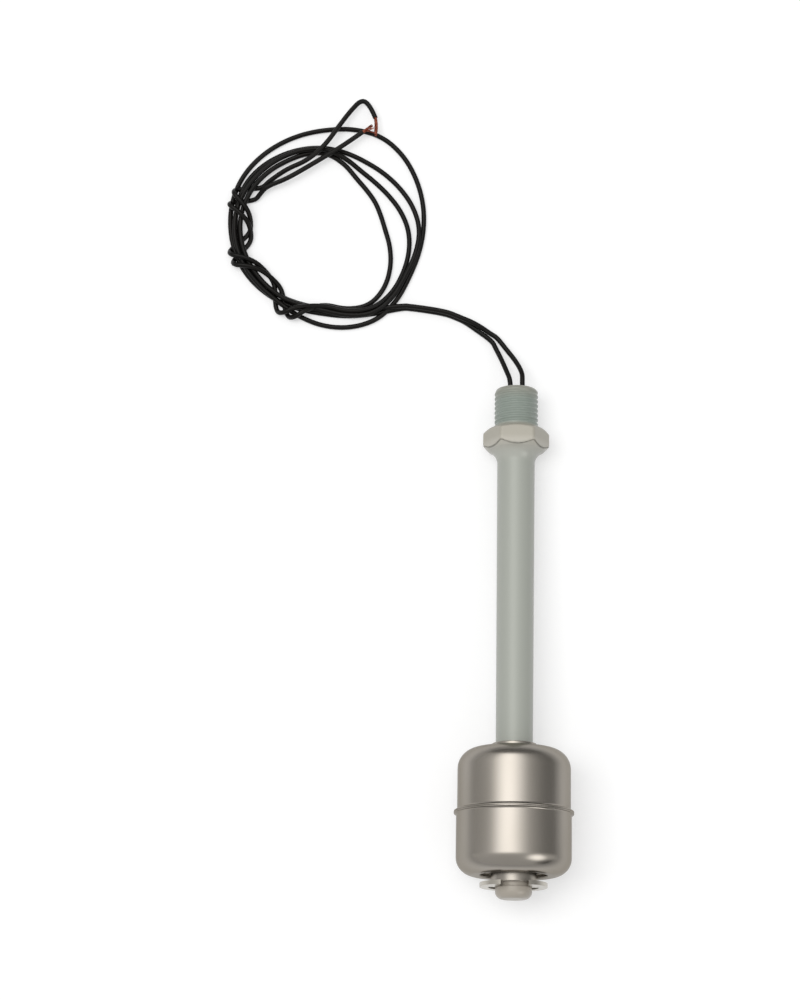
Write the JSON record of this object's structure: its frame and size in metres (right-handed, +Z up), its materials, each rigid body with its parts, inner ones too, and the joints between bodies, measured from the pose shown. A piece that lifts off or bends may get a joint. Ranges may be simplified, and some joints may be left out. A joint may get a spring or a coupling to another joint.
{
  "type": "float level switch",
  "caption": "Vertical float level switch: a stainless float slides along a stem with a sealed reed switch, under a hexagonal collar and mounting thread, with a loose coil of lead wire.",
  "frame": {"origin": "on the surface it lies on, under the middle of the switch without its loose wires", "axes": "+Y along the stem towards the mounting thread, +Z up, +X across; the stem leans down towards the thread by 4.36 degrees because the float's flange is wider than the collar"},
  "size_m": [0.0772, 0.1778, 0.0256],
  "materials": {
    "stem_steel": "fine turned stainless steel",
    "float_steel": "satin pressed stainless steel with a warm cast",
    "spring_steel": "stamped stainless spring steel",
    "ferrite": "dark sintered ferrite",
    "reed_glass": "green-tinted sealed glass",
    "reed_alloy": "nickel-iron",
    "copper": "bare stranded copper",
    "solder": "bright solder",
    "heat_shrink": "matt sleeve",
    "wire_insulation": "semi-gloss black insulation",
    "potting_resin": "cured dark resin"
  },
  "bodies": {
    "stem": {"stem_body": "stem_steel", "retaining_clip": "spring_steel", "reed_glass": "reed_glass", "reed_blade_upper": "reed_alloy", "reed_blade_lower": "reed_alloy", "return_wire": "copper", "solder_joint_a": "solder", "solder_joint_b": "solder", "heat_shrink_a": "heat_shrink", "heat_shrink_b": "heat_shrink", "inner_wire_a": "wire_insulation", "inner_wire_b": "wire_insulation", "potting_plug": "potting_resin", "wire_a_lead": "wire_insulation", "wire_b_lead": "wire_insulation", "wire_coil": "wire_insulation", "wire_a_tail": "wire_insulation", "wire_b_tail": "wire_insulation", "wire_a_copper_end": "copper", "wire_b_copper_end": "copper"},
    "float": {"float_upper_shell": "float_steel", "float_lower_shell": "float_steel", "float_inner_tube": "float_steel", "ring_magnet": "ferrite", "magnet_retainer_upper": "spring_steel", "magnet_retainer_lower": "spring_steel"}
  },
  "joints": [
    {"name": "float_slide", "type": "slide", "parent": "stem", "child": "float", "axis": [0, 0.9971, -0.076], "range_m": [0, 0.063]}
  ]
}
